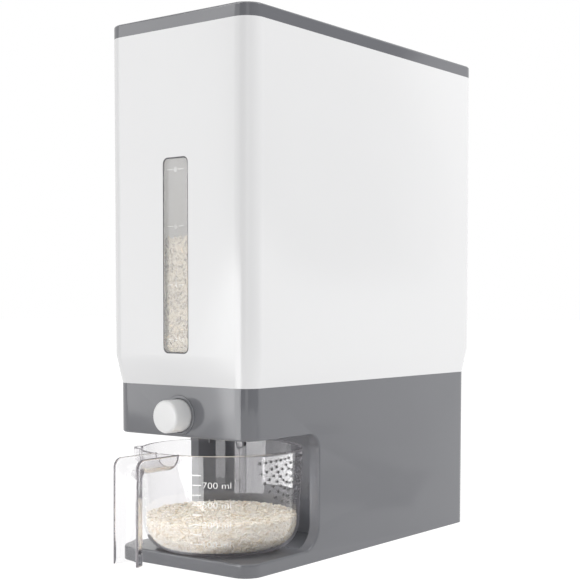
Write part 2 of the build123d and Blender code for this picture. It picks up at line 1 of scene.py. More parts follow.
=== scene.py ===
import bpy
import numpy as np
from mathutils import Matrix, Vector


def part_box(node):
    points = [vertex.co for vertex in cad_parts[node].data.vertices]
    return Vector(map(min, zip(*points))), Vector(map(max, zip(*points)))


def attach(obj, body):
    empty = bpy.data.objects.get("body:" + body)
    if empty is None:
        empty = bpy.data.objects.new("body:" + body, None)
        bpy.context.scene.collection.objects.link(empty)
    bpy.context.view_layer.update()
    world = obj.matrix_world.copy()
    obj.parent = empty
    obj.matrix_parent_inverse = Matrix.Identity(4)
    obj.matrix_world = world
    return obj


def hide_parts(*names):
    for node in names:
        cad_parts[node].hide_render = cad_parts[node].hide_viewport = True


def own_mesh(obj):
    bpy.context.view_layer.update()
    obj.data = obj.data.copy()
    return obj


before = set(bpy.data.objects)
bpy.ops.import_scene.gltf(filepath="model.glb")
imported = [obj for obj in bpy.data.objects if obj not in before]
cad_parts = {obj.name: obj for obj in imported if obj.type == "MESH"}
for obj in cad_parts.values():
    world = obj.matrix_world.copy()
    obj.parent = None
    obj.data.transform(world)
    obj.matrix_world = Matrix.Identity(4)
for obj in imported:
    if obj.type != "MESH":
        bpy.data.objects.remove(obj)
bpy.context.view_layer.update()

# A rice dispenser, piece by piece: base, gate, tank, lid, button, window and cup, the rice in the
# cup and in the tank, the spring behind the button, and the studio round it all. Lengths are in
# metres, in the CAD's own frame.


# ---- Base housing ----
# One injection moulding in mid grey, satin plastic: an outer shell, the bay's liner and a rim
# that carries the tank. Its surface keeps the fine spark texture of the mould.

def new_group(name, inputs, outputs):
    """An empty shader group whose sockets are (name, type, default) in and (name, type) out."""
    group = bpy.data.node_groups.new(name, "ShaderNodeTree")
    for label, kind, default in inputs:
        socket = group.interface.new_socket(label, in_out="INPUT", socket_type=kind)
        socket.default_value = default
    for label, kind in outputs:
        group.interface.new_socket(label, in_out="OUTPUT", socket_type=kind)
    return group, group.nodes.new("NodeGroupInput"), group.nodes.new("NodeGroupOutput")


def noise_field(tree, vector, scale, detail=3.0, roughness=0.5):
    """Noise from 0 to 1 on a vector output."""
    node = tree.nodes.new("ShaderNodeTexNoise")
    node.inputs["Scale"].default_value = scale
    node.inputs["Detail"].default_value = detail
    node.inputs["Roughness"].default_value = roughness
    tree.links.new(vector, node.inputs["Vector"])
    return node.outputs["Fac"]


def remap(tree, value, low, high, new_low, new_high):
    """A value from low..high stretched to new_low..new_high and held there beyond."""
    node = tree.nodes.new("ShaderNodeMapRange")
    node.clamp = True
    for place, number in enumerate((low, high, new_low, new_high), start=1):
        node.inputs[place].default_value = number
    tree.links.new(value, node.inputs[0])
    return node.outputs[0]


def math_step(tree, kind, first, second):
    """One arithmetic step of two values or sockets."""
    node = tree.nodes.new("ShaderNodeMath")
    node.operation = kind
    for place, value in enumerate((first, second)):
        if isinstance(value, (int, float)):
            node.inputs[place].default_value = value
        else:
            tree.links.new(value, node.inputs[place])
    return node.outputs[0]


def moulded_group():
    """Moulded plastic: tone that drifts over a hand's width, polish that varies, fine grain."""
    group, source, result = new_group(
        "moulded_surface",
        [
            ("Colour", "NodeSocketColor", (0.5, 0.5, 0.5, 1.0)),
            ("Drift", "NodeSocketFloat", 0.03),
            ("Polish", "NodeSocketFloat", 0.3),
            ("Grain", "NodeSocketFloat", 0.1),
        ],
        [
            ("Colour", "NodeSocketColor"),
            ("Roughness", "NodeSocketFloat"),
            ("Normal", "NodeSocketVector"),
        ],
    )
    place = group.nodes.new("ShaderNodeTexCoord").outputs["Object"]
    cloud = noise_field(group, place, 11.0, 4.0)
    spark = noise_field(group, place, 1100.0, 1.0)

    tone = remap(group, cloud, 0.1, 0.9, -1.0, 1.0)
    gain = math_step(group, "MULTIPLY_ADD", tone, source.outputs["Drift"])
    gain.node.inputs[2].default_value = 1.0
    scaled = group.nodes.new("ShaderNodeVectorMath")
    scaled.operation = "SCALE"
    group.links.new(source.outputs["Colour"], scaled.inputs[0])
    group.links.new(gain, scaled.inputs["Scale"])
    group.links.new(scaled.outputs[0], result.inputs["Colour"])

    mottled = remap(group, cloud, 0.1, 0.9, -0.02, 0.02)
    group.links.new(math_step(group, "ADD", source.outputs["Polish"], mottled),
                    result.inputs["Roughness"])

    bump = group.nodes.new("ShaderNodeBump")
    bump.inputs["Distance"].default_value = 0.00003
    group.links.new(source.outputs["Grain"], bump.inputs["Strength"])
    group.links.new(spark, bump.inputs["Height"])
    group.links.new(bump.outputs["Normal"], result.inputs["Normal"])
    return group


moulded_surface = moulded_group()


def plastic(name, colour, polish, grain, drift=0.03):
    """Opaque moulded plastic with that linear colour, roughness and strength of grain."""
    material = bpy.data.materials.new(name)
    material.use_nodes = True
    tree = material.node_tree
    shader = tree.nodes["Principled BSDF"]
    finish = tree.nodes.new("ShaderNodeGroup")
    finish.node_tree = moulded_surface
    finish.inputs["Colour"].default_value = (*colour, 1.0)
    finish.inputs["Drift"].default_value = drift
    finish.inputs["Polish"].default_value = polish
    finish.inputs["Grain"].default_value = grain
    tree.links.new(finish.outputs["Colour"], shader.inputs["Base Color"])
    tree.links.new(finish.outputs["Roughness"], shader.inputs["Roughness"])
    tree.links.new(finish.outputs["Normal"], shader.inputs["Normal"])
    shader.inputs["IOR"].default_value = 1.5
    return material


def dress(node, material, smooth_below=32.0):
    """Gives a CAD node its finish, and shades its curved faces smooth up to that many degrees."""
    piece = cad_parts[node]
    piece.data.materials.clear()
    piece.data.materials.append(material)
    weld = piece.modifiers.new("weld", "WELD")
    weld.merge_threshold = 1e-6
    crease = piece.modifiers.new("crease", "EDGE_SPLIT")
    crease.split_angle = np.radians(smooth_below)
    piece.data.polygons.foreach_set("use_smooth", np.ones(len(piece.data.polygons), bool))
    return piece


base_grey = plastic("base_grey", (0.156, 0.159, 0.172), 0.11, 0.08)
dress("base_housing", base_grey)


# ---- Bottom cover, pads and screws ----
# A flat plate closes the base from below. Four rubber pads are let into it, and its screws are
# zinc-plated steel, as are those inside that hold the tank and the gate frame.

dress("bottom_cover", plastic("cover_grey", (0.18, 0.182, 0.195), 0.42, 0.22))
dress("rubber_feet", plastic("pad_rubber", (0.035, 0.035, 0.037), 0.75, 0.6, drift=0.12))


def plated_steel():
    """Zinc-plated steel: bright grey metal with streaks of duller plating."""
    material = bpy.data.materials.new("plated_steel")
    material.use_nodes = True
    tree = material.node_tree
    shader = tree.nodes["Principled BSDF"]
    place = tree.nodes.new("ShaderNodeTexCoord").outputs["Object"]
    streak = noise_field(tree, place, 420.0, 4.0, 0.6)
    ramp = tree.nodes.new("ShaderNodeValToRGB")
    ramp.color_ramp.elements[0].color = (0.42, 0.42, 0.43, 1.0)
    ramp.color_ramp.elements[1].color = (0.66, 0.66, 0.67, 1.0)
    tree.links.new(streak, ramp.inputs["Fac"])
    tree.links.new(ramp.outputs["Color"], shader.inputs["Base Color"])
    tree.links.new(remap(tree, streak, 0.3, 0.7, 0.24, 0.42), shader.inputs["Roughness"])
    shader.inputs["Metallic"].default_value = 1.0
    return material


steel = plated_steel()
for group_of_screws in ("bottom_screws", "tank_screws", "gate_screws"):
    dress(group_of_screws, steel)


# ---- Gate, chute and hopper ----
# Off-white mouldings that touch the food: the slopes, the channel, the gate and its rod, with a
# grey chute below. A soft, slightly milky ring seals the gate. The spring that returns it stays
# at its rest length here, and a coil stands for it further down.

inner_plastic = plastic("inner_plastic", (0.70, 0.70, 0.68), 0.36, 0.18)
for inner in ("hopper_floor", "gate_frame", "gate_slide", "push_rod"):
    dress(inner, inner_plastic)
dress("outlet_chute", plastic("chute_grey", (0.08, 0.08, 0.087), 0.34, 0.14))
soft_ring = plastic("soft_ring", (0.62, 0.62, 0.60), 0.55, 0.30)
dress("throat_seal", soft_ring)
dress("return_spring", steel)


# ---- Tank ----
# A tall white moulding with a glossy skin, drafted towards the bottom, where it steps in to sit
# on the base. The window's slot is moulded into its front.

tank_white = plastic("tank_white", (0.76, 0.76, 0.765), 0.21, 0.05, drift=0.008)
dress("tank_shell", tank_white)


# ---- Lid ----
# A grey cover whose side band is flush with the tank, with an off-white plug tray inside it and
# a soft ring round the plug.

dress("lid_cover", base_grey)
dress("lid_liner", inner_plastic)
dress("lid_seal", soft_ring)


# ---- Button ----
# A white cap with a rounded face, running in a grey sleeve whose bezel shows round it.

dress("button_cap", plastic("button_white", (0.76, 0.76, 0.76), 0.30, 0.08, drift=0.01))
dress("button_guide", base_grey)


# ---- Sight window ----
# A clear pane with a slight milkiness, clipped into the tank's slot over a dark gasket. A thin dark
# line of painted shadow runs round it, for the shaded gap between pane and slot. Level marks are
# printed in white on the pane's face.

def clear_plastic(name, colour, clear, polish, edge=(0.24, 0.225, 0.243), shadow=0.9, bounces=2.5):
    """Clear plastic: glass of that share, the rest diffuse, faintly uneven in tone and polish.

    Light thrown about inside the wall more often than bounces ends in a glow of the edge's
    colour, painted shade for the dim edges of the walls, and its shadow lets that share of the
    light through.
    """
    material = bpy.data.materials.new(name)
    material.use_nodes = True
    tree = material.node_tree
    shader = tree.nodes["Principled BSDF"]
    place = tree.nodes.new("ShaderNodeTexCoord").outputs["Object"]
    drift = noise_field(tree, place, 40.0, 3.0)
    ramp = tree.nodes.new("ShaderNodeValToRGB")
    ramp.color_ramp.elements[0].color = (*[0.97 * part for part in colour], 1.0)
    ramp.color_ramp.elements[1].color = (*colour, 1.0)
    tree.links.new(drift, ramp.inputs["Fac"])
    tree.links.new(ramp.outputs["Color"], shader.inputs["Base Color"])
    tree.links.new(remap(tree, drift, 0.3, 0.7, polish, polish + 0.02), shader.inputs["Roughness"])
    shader.inputs["IOR"].default_value = 1.49
    shader.inputs["Transmission Weight"].default_value = clear
    passing = tree.nodes.new("ShaderNodeBsdfTransparent")
    passing.inputs["Color"].default_value = (shadow, shadow, shadow, 1.0)
    mix = tree.nodes.new("ShaderNodeMixShader")
    path = tree.nodes.new("ShaderNodeLightPath")
    trapped = math_step(tree, "GREATER_THAN", path.outputs["Glossy Depth"], bounces)
    # Painted edge shade: deep paths end in a glow of the edge's colour.
    painted_edge_glow = tree.nodes.new("ShaderNodeEmission")
    painted_edge_glow.inputs["Color"].default_value = (*edge, 1.0)
    lit = tree.nodes.new("ShaderNodeMixShader")
    tree.links.new(trapped, lit.inputs["Fac"])
    tree.links.new(shader.outputs[0], lit.inputs[1])
    tree.links.new(painted_edge_glow.outputs[0], lit.inputs[2])
    tree.links.new(path.outputs["Is Shadow Ray"], mix.inputs["Fac"])
    tree.links.new(lit.outputs[0], mix.inputs[1])
    tree.links.new(passing.outputs[0], mix.inputs[2])
    tree.links.new(mix.outputs[0], tree.nodes["Material Output"].inputs["Surface"])
    return material


dress("window_lens", clear_plastic("window_pane", (0.80, 0.802, 0.805), 0.86, 0.02))
# The gasket's own dark, which also colours the painted shadow line round the pane.
gasket_and_gap_shadow = plastic("gasket_and_gap_shadow", (0.05, 0.05, 0.054), 0.5, 0.2)
dress("window_seal", gasket_and_gap_shadow)


def new_piece(name, points, faces):
    """An object at the origin from an array of points in metres and rows of point numbers."""
    mesh = bpy.data.meshes.new(name)
    mesh.from_pydata(np.asarray(points).tolist(), [], faces)
    mesh.validate()
    piece = bpy.data.objects.new(name, mesh)
    bpy.context.scene.collection.objects.link(piece)
    return piece


def flat_text(words, width, height):
    """Lettering as arrays: points in a width x height box from (0, 0), and its faces."""
    curve = bpy.data.curves.new("lettering", "FONT")
    curve.body = words
    curve.resolution_u = 3
    curve.offset = -0.010
    carrier = bpy.data.objects.new("lettering", curve)
    bpy.context.scene.collection.objects.link(carrier)
    bpy.context.view_layer.update()
    mesh = bpy.data.meshes.new_from_object(carrier.evaluated_get(
        bpy.context.evaluated_depsgraph_get()))
    points = np.empty(3 * len(mesh.vertices))
    mesh.vertices.foreach_get("co", points)
    points = points.reshape(-1, 3)[:, :2]
    faces = [tuple(face.vertices) for face in mesh.polygons]
    bpy.data.objects.remove(carrier)
    bpy.data.curves.remove(curve)
    bpy.data.meshes.remove(mesh)
    low, high = points.min(axis=0), points.max(axis=0)
    return (points - low) / (high - low) * (width, height), faces


def dash(left, low, width, height, steps=4):
    """A flat bar as arrays: steps quads side by side from its lower left corner."""
    along = left + width * np.linspace(0.0, 1.0, steps + 1)
    points = np.stack([np.r_[along, along],
                       np.r_[np.full(steps + 1, low), np.full(steps + 1, low + height)]], axis=1)
    first = np.arange(steps)
    faces = np.stack([first, first + 1, first + steps + 2, first + steps + 1], axis=1)
    return points, [tuple(face) for face in faces.tolist()]


def join_flats(flats):
    """Several (points, faces) pairs as one pair."""
    all_points, all_faces, count = [], [], 0
    for points, faces in flats:
        all_points.append(points)
        all_faces += [tuple(count + corner for corner in face) for face in faces]
        count += len(points)
    return np.concatenate(all_points), all_faces


def add_glow(material, strength):
    """Lets a material give off white light of that strength as well."""
    shader = material.node_tree.nodes["Principled BSDF"]
    shader.inputs["Emission Color"].default_value = (1.0, 1.0, 1.0, 1.0)
    shader.inputs["Emission Strength"].default_value = strength


def print_ink(name, cover, patchiness=0.08):
    """Thin white pad-print ink of that cover, a little uneven where the pad lifted.

    Its faint glow is painted light that keeps it bright.
    """
    material = plastic(name, (0.88, 0.88, 0.87), 0.5, 0.4, drift=0.05)
    tree = material.node_tree
    place = tree.nodes.new("ShaderNodeTexCoord").outputs["Object"]
    patchy = noise_field(tree, place, 500.0, 2.0)
    tree.links.new(remap(tree, patchy, 0.3, 0.7, cover - patchiness, cover + patchiness),
                   tree.nodes["Principled BSDF"].inputs["Alpha"])
    # Painted light: the ink glows a little.
    add_glow(material, 0.3)
    return material


pane_low, pane_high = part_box("window_lens")
print_lift = 0.00005
digit_width, unit_width, figure_height, figure_left = 0.0026, 0.0102, 0.0040, -0.0013
mark_length, mark_thickness, left_mark, right_mark = 0.0056, 0.0005, -0.0088, 0.0032
mark_levels = {"8": 0.3240, "6": 0.2780, "4": 0.2305, "2 kg": 0.1864}
marks = []
for figure, level in mark_levels.items():
    is_digit = len(figure) == 1
    figure_points, figure_faces = flat_text(
        figure, digit_width if is_digit else unit_width, figure_height)
    marks.append((figure_points + (figure_left, level - figure_height / 2), figure_faces))
    for mark_left in ((left_mark, right_mark) if is_digit else (left_mark,)):
        marks.append(dash(mark_left, level - mark_thickness / 2, mark_length, mark_thickness))
mark_points, mark_faces = join_flats(marks)
pane_lean = np.tan(np.radians(0.287))
pane_mid_z = (pane_low[2] + pane_high[2]) / 2
pane_face_y = pane_low[1] + (pane_high[2] - pane_mid_z) * pane_lean
window_marks = new_piece(
    "window_marks",
    np.stack([mark_points[:, 0],
              pane_face_y - (mark_points[:, 1] - pane_mid_z) * pane_lean - print_lift,
              mark_points[:, 1]], axis=1),
    mark_faces,
)
window_marks.data.materials.append(print_ink("window_ink", 0.6))
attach(window_marks, "root")


def rounded_outline(turn, half_x, half_y, corner):
    """Where a ray from the middle at that angle meets a rounded rectangle's edge.

    The edge is the straight side where the ray leaves there, and the corner's circle elsewhere.
    """
    across, ahead = np.cos(turn), np.sin(turn)
    straight = np.minimum(half_x / np.maximum(np.abs(across), 1e-9),
                          half_y / np.maximum(np.abs(ahead), 1e-9))
    mid_x, mid_y = half_x - corner, half_y - corner
    near = np.abs(across) * mid_x + np.abs(ahead) * mid_y
    bend = near + np.sqrt(np.clip(near ** 2 - mid_x ** 2 - mid_y ** 2 + corner ** 2, 0.0, None))
    x, y = straight * np.abs(across), straight * np.abs(ahead)
    reach = np.where((x > mid_x) & (y > mid_y), bend, straight)
    return np.stack([reach * across, reach * ahead], axis=-1)


# Painted shadow: a dark line round the pane, wider at top and bottom, for the shaded gap at its edge.
window_half_x, window_half_z, window_corner = 0.01375, 0.0796, 0.0050
shadow_line_width, shadow_line_end_width, shadow_line_out_rise, shadow_line_in_rise = 0.0008, 0.00112, 0.0003, 0.00006
shadow_line_around = np.radians(np.arange(0.0, 360.0, 1.0))
shadow_line_out = rounded_outline(shadow_line_around, window_half_x, window_half_z, window_corner)
shadow_line_in = rounded_outline(shadow_line_around, window_half_x - shadow_line_width, window_half_z - shadow_line_end_width,
                         window_corner - shadow_line_width)
shadow_line_flat = np.concatenate([shadow_line_out, shadow_line_in])
shadow_line_rise = np.r_[np.full(len(shadow_line_out), shadow_line_out_rise), np.full(len(shadow_line_in), shadow_line_in_rise)]
shadow_line_first = np.arange(len(shadow_line_out))
shadow_line_after = (shadow_line_first + 1) % len(shadow_line_out)
window_gap_shadow = new_piece(
    "window_gap_shadow",
    np.stack([shadow_line_flat[:, 0], pane_face_y - shadow_line_flat[:, 1] * pane_lean - shadow_line_rise,
              pane_mid_z + shadow_line_flat[:, 1]], axis=1),
    np.stack([shadow_line_first, shadow_line_after, shadow_line_after + len(shadow_line_out), shadow_line_first + len(shadow_line_out)],
             axis=1).tolist(),
)
window_gap_shadow.data.materials.append(gasket_and_gap_shadow)
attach(window_gap_shadow, "root")


# ---- Measuring cup ----
# Clear styrene in one shot: a round bowl with a pouring spout, a half-pipe handle and a strainer,
# whose small holes lie on half rings in the right side, so that washed rice can be drained. The
# pins that form the holes leave their walls matt; their dark grey is painted shade inside the holes.

cup_y = -0.118
cup_floor_z, cup_waist_z, cup_rim_z, cup_wall = 0.0113, 0.034, 0.0945, 0.002
foot_radius, waist_radius, rim_radius = 0.0478, 0.0658, 0.0688
spout_angle, spout_reach, spout_radius = 224.0, 0.0735, 0.013
spout_straight_z, spout_fall, spout_blend = 0.0845, 0.913, 0.0016
spout_start_z, spout_fade = 0.066, 0.006
spout_rise, spout_rise_spread = 0.0011, 9.0


def grid_faces(rows, columns):
    """Quads between neighbouring rows of a grid that closes round its columns."""
    row, column = np.meshgrid(np.arange(rows - 1), np.arange(columns), indexing="ij")
    after = (column + 1) % columns
    quads = np.stack([row * columns + column, row * columns + after,
                      (row + 1) * columns + after, (row + 1) * columns + column], axis=-1)
    return quads.reshape(-1, 4)


def close_grid(points, first_pole, last_pole):
    """A closed surface from rows of a grid (rows, columns, 3) and a point beyond each end."""
    rows, columns = points.shape[:2]
    faces = grid_faces(rows, columns).tolist()
    ring = np.arange(columns)
    after = (ring + 1) % columns
    start, end = rows * columns, rows * columns + 1
    last = (rows - 1) * columns
    faces += np.stack([np.full(columns, start), after, ring], axis=1).tolist()
    faces += np.stack([np.full(columns, end), last + ring, last + after], axis=1).tolist()
    return np.concatenate([points.reshape(-1, 3), [first_pole, last_pole]]), faces


def bowl_side(inset, steps=18, wall_rows=46, first_ring=0.004, floor_rings=6):
    """Radius and height up the bowl: flat floor, quarter ellipse at the waist, straight flare."""
    bend = np.radians(np.linspace(0.0, 90.0, steps))
    floor_z, waist = cup_floor_z + inset, waist_radius - inset
    floor = np.linspace(first_ring, foot_radius, floor_rings + 1)[:-1]
    flare = np.linspace(0.0, 1.0, wall_rows)[1:]
    radius = np.r_[floor, foot_radius + (waist - foot_radius) * np.sin(bend),
                   waist + (rim_radius - waist_radius) * flare]
    height = np.r_[np.full(len(floor), floor_z), cup_waist_z - (cup_waist_z - floor_z) * np.cos(bend),
                   cup_waist_z + (cup_rim_z - cup_wall / 2 - cup_waist_z) * flare]
    return radius, height


def with_spout(radius, height, inset, angle):
    """Bowl radius at each height (rows) and angle (columns), pushed out smoothly at the spout.

    The spout is a circle whose centre lies inside the bowl: its edge is at
    centre*cos(turn) + sqrt(r^2 - (centre*sin(turn))^2), and the centre moves in below the lip.
    """
    turn = np.radians(angle - spout_angle)[None, :]
    own = (spout_radius - inset)[:, None]
    drop = np.clip(spout_straight_z - height, 0.0, None)[:, None]
    centre = spout_reach - spout_radius - spout_fall * drop
    edge = centre * np.cos(turn) + np.sqrt(np.clip(own ** 2 - (centre * np.sin(turn)) ** 2, 0, None))
    edge = np.where(np.cos(turn) > 0, edge, 0.0)
    bowl = radius[:, None] + 0 * turn
    pushed = 0.5 * (bowl + edge + np.sqrt((bowl - edge) ** 2 + spout_blend ** 2))
    fade = np.clip((height - spout_start_z) / spout_fade, 0.0, 1.0)[:, None]
    return bowl + fade * (pushed - bowl)


def bowl_points(radius, height, inset, angle):
    """Bowl surface in space: with_spout's radius turned about the cup's axis, lip raised."""
    reach = with_spout(radius, height, inset, angle)
    turn = np.radians(angle)[None, :]
    past_spout = turn - np.radians(spout_angle)
    near_spout = np.exp(-(np.degrees(np.arcsin(np.sin(past_spout))) / spout_rise_spread) ** 2)
    near_spout = np.where(np.cos(past_spout) > 0, near_spout, 0.0)
    share_up = np.clip(height - spout_straight_z, 0.0, None)[:, None] / (cup_rim_z - spout_straight_z)
    lift = spout_rise * near_spout * share_up
    return np.stack([reach * np.cos(turn), cup_y + reach * np.sin(turn),
                     height[:, None] + lift], axis=-1)


even_angles = np.arange(0.0, 360.0, 3.0)
spout_angles = np.arange(spout_angle - 16.0, spout_angle + 16.0, 0.5)
strainer_angles = np.arange(-36.0, 50.0, 1.0) % 360.0
cup_angles = np.unique(np.round(np.r_[even_angles, spout_angles, strainer_angles], 3))
outer_radius, outer_height = bowl_side(0.0)
inner_radius, inner_height = bowl_side(cup_wall)
lip_turn = np.radians(np.linspace(0.0, 180.0, 9))[1:-1]
lip_radius = (outer_radius[-1] + inner_radius[-1]) / 2 + cup_wall / 2 * np.cos(lip_turn)
lip_height = outer_height[-1] + cup_wall / 2 * np.sin(lip_turn)
bowl_rows = bowl_points(
    np.r_[outer_radius, lip_radius, inner_radius[::-1]],
    np.r_[outer_height, lip_height, inner_height[::-1]],
    np.r_[0 * outer_radius, cup_wall / 2 * (1 - np.cos(lip_turn)), 0 * inner_radius + cup_wall],
    cup_angles,
)
bowl_mesh = close_grid(bowl_rows, (0.0, cup_y, cup_floor_z), (0.0, cup_y, cup_floor_z + cup_wall))
measuring_cup = new_piece("clear_cup", *bowl_mesh)

handle_radius, handle_wall, handle_sunk = 0.0135, 0.0026, 0.0019
handle_front_y, handle_top_z, handle_low_z = -0.232, 0.095, 0.0128
handle_root_y = cup_y - rim_radius + handle_sunk
outer_bend, inner_bend = 0.007, 0.0045


def handle_section(arc_steps=26, cap_steps=7):
    """Half ring with rounded edges: (across, depth) of a band of even thickness on an arc."""
    middle, half = handle_radius - handle_wall / 2, handle_wall / 2
    start = np.arcsin(half / middle)
    sweep_out = np.linspace(start, np.pi - start, arc_steps)
    cap = np.linspace(0.0, np.pi, cap_steps)[1:-1]
    outer = (middle + half) * np.stack([np.cos(sweep_out), np.sin(sweep_out)], axis=1)
    inner = (middle - half) * np.stack([np.cos(sweep_out), np.sin(sweep_out)], axis=1)[::-1]
    far_mid = middle * np.array([np.cos(np.pi - start), np.sin(np.pi - start)])
    near_mid = middle * np.array([np.cos(start), np.sin(start)])
    far_cap = far_mid + half * np.stack([np.cos(np.pi - start + cap), np.sin(np.pi - start + cap)], 1)
    near_cap = near_mid + half * np.stack([np.cos(start + np.pi + cap),
                                           np.sin(start + np.pi + cap)], 1)
    return np.concatenate([outer, far_cap, inner, near_cap])


def handle_rows(section, bend_steps=12, run_steps=14):
    """The section carried out from the bowl, round a bend and down the grip.

    A point at depth d runs d below the handle's top, turns about its own arc, whose radius goes
    from the outer bend at d = 0 to the inner bend at the back, and then runs d behind the front.
    """
    across, depth = section[:, 0], section[:, 1]
    bend = outer_bend + (inner_bend - outer_bend) * depth / handle_radius
    mid_y, mid_z = handle_front_y + depth + bend, handle_top_z - depth - bend
    rows = []
    for share in np.linspace(0.0, 1.0, run_steps)[:-1]:
        rows.append([across, handle_root_y + share * (mid_y - handle_root_y), handle_top_z - depth])
    for turn in np.radians(np.linspace(90.0, 180.0, bend_steps)):
        rows.append([across, mid_y + bend * np.cos(turn), mid_z + bend * np.sin(turn)])
    for share in np.linspace(0.0, 1.0, run_steps)[1:]:
        rows.append([across, handle_front_y + depth, mid_z + share * (handle_low_z - mid_z)])
    return np.array(rows).transpose(0, 2, 1)


grip_rows = handle_rows(handle_section())
row_count, ring_count = grip_rows.shape[:2]
handle_faces = grid_faces(row_count, ring_count).tolist()
handle_faces.append(list(range(ring_count))[::-1])
handle_faces.append(list(range((row_count - 1) * ring_count, row_count * ring_count)))
handle = new_piece("handle_blank", grip_rows.reshape(-1, 3), handle_faces)

strainer_angle, strainer_z, ring_pitch, hole_radius = 8.5, 0.090, 0.0053, 0.00122
holes_on_ring = (4, 7, 7, 14, 14, 14, 14)
hole_shade_slot = 1


def half_ring(radius, count, margin=4.0):
    """Places along a half ring below its middle, evenly apart, a few degrees in from its ends."""
    turn = np.radians(np.linspace(margin - 180.0, -margin, count))
    return radius * np.stack([np.cos(turn), np.sin(turn)], axis=1)


def drill_bits(places, sides=12, inner=0.058, outer=0.080, mid_radius=0.0678):
    """Radial pins through the bowl's wall at places (along the wall, above strainer_z)."""
    around = np.radians(np.arange(sides) * 360.0 / sides)
    middle = np.radians(strainer_angle) + places[:, 0] / mid_radius
    outward = np.stack([np.cos(middle), np.sin(middle)], axis=1)
    sideways = np.stack([-np.sin(middle), np.cos(middle)], axis=1)
    across = hole_radius * np.cos(around)[None, :, None] * sideways[:, None, :]
    height = strainer_z + places[:, 1][:, None] + hole_radius * np.sin(around)[None, :]
    ends = []
    for radius in (inner, outer):
        flat = radius * outward[:, None, :] + across + np.array([0.0, cup_y])
        ends.append(np.concatenate([flat, height[:, :, None]], axis=2))
    points = np.stack(ends, axis=1).reshape(-1, 3)
    start = np.arange(len(places))[:, None] * 2 * sides
    ring = np.arange(sides)[None, :]
    after = (ring + 1) % sides
    sides_of_pins = np.stack([start + ring, start + after, start + sides + after,
                              start + sides + ring], axis=-1).reshape(-1, 4).tolist()
    caps = (start + ring[:, ::-1]).tolist() + (start + sides + ring).tolist()
    return points, sides_of_pins + caps


hole_places = np.concatenate([half_ring(ring * ring_pitch, count)
                              for ring, count in enumerate(holes_on_ring, start=1)])
drills = new_piece("drill_blank", *drill_bits(hole_places))
drills.data.polygons.foreach_set(
    "material_index", np.full(len(drills.data.polygons), hole_shade_slot, np.int32))


def cut_or_join(piece, other, kind):
    """Applies one exact boolean to the piece, slot by slot, and removes the other body."""
    step = piece.modifiers.new("body", "BOOLEAN")
    step.operation, step.solver, step.object = kind, "EXACT", other
    step.material_mode = "INDEX"
    done = piece.evaluated_get(bpy.context.evaluated_depsgraph_get())
    mesh = bpy.data.meshes.new_from_object(done)
    piece.modifiers.clear()
    old = piece.data
    piece.data = mesh
    bpy.data.meshes.remove(old)
    spare = other.data
    bpy.data.objects.remove(other)
    bpy.data.meshes.remove(spare)


def shade_smooth(piece, smooth_below=35.0):
    """Smooth shading, with edges sharper than that many degrees kept crisp."""
    piece.data.polygons.foreach_set("use_smooth", np.ones(len(piece.data.polygons), bool))
    crease = piece.modifiers.new("crease", "EDGE_SPLIT")
    crease.split_angle = np.radians(smooth_below)


cup_clear = clear_plastic("cup_clear", (0.925, 0.918, 0.926), 1.0, 0.0)
# The holes' walls: matt, and painted dark grey as shade inside the holes.
cup_hole_shade = plastic("cup_hole_shade", (0.17, 0.165, 0.175), 0.45, 0.3)
for coat in (cup_clear, cup_hole_shade):
    measuring_cup.data.materials.append(coat)
    drills.data.materials.append(coat)
handle.data.materials.append(cup_clear)
cut_or_join(measuring_cup, handle, "UNION")
cut_or_join(measuring_cup, drills, "DIFFERENCE")
shade_smooth(measuring_cup)
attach(measuring_cup, "cup")
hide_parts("measuring_cup")


# ---- Cup graduations ----
# A scale of dashes and figures, pad-printed in white on the outside of the bowl, and a second
# row of short dashes beside the handle.

scale_step, scale_low_z = 0.0079, 0.0238
scale_levels = scale_low_z + scale_step * np.arange(8)
scale_angle, label_angle, second_angle = -69.5, -62.1, -121.0
label_left = np.radians(label_angle - scale_angle) * waist_radius
second_left = np.radians(second_angle - scale_angle) * waist_radius
tick_length, tick_thickness = 0.0073, 0.0009
long_tick, short_tick, second_thickness = 0.0045, 0.003, 0.0008
label_width, label_height = 0.0222, 0.0050
prints = []
for step_number, level in enumerate(scale_levels):
    prints.append(dash(0.0, level - tick_thickness / 2, tick_length, tick_thickness, steps=6))
    if step_number % 2 == 0:
        label_points, label_faces = flat_text(
            f"{100 * (step_number + 1)} ml", label_width, label_height)
        prints.append((label_points + (label_left, level - label_height / 2), label_faces))
for step_number, level in enumerate(scale_levels[1:]):
    prints.append(dash(second_left, level - second_thickness / 2,
                       long_tick if step_number % 2 else short_tick, second_thickness))
print_points, print_faces = join_flats(prints)
wall_radius = np.interp(print_points[:, 1], [cup_waist_z, cup_rim_z], [waist_radius, rim_radius])
low_share = np.clip((cup_waist_z - print_points[:, 1]) / (cup_waist_z - cup_floor_z), 0.0, 1.0)
wall_radius -= (waist_radius - foot_radius) * (1 - np.sqrt(1 - low_share ** 2))
print_turn = np.radians(scale_angle) + print_points[:, 0] / waist_radius
print_radius = wall_radius + print_lift
cup_scale = new_piece(
    "cup_scale",
    np.stack([print_radius * np.cos(print_turn), cup_y + print_radius * np.sin(print_turn),
              print_points[:, 1]], axis=1),
    print_faces,
)
cup_scale.data.materials.append(print_ink("scale_ink", 0.62))
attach(cup_scale, "cup")


# ---- Rice in the cup ----
# About 300 ml of short-grain rice, settled level: real grains lie against the wall and on top,
# over a core in the same colour that fills the bowl behind them.

grain_length, grain_width = 0.0050, 0.0017
random = np.random.default_rng(7)


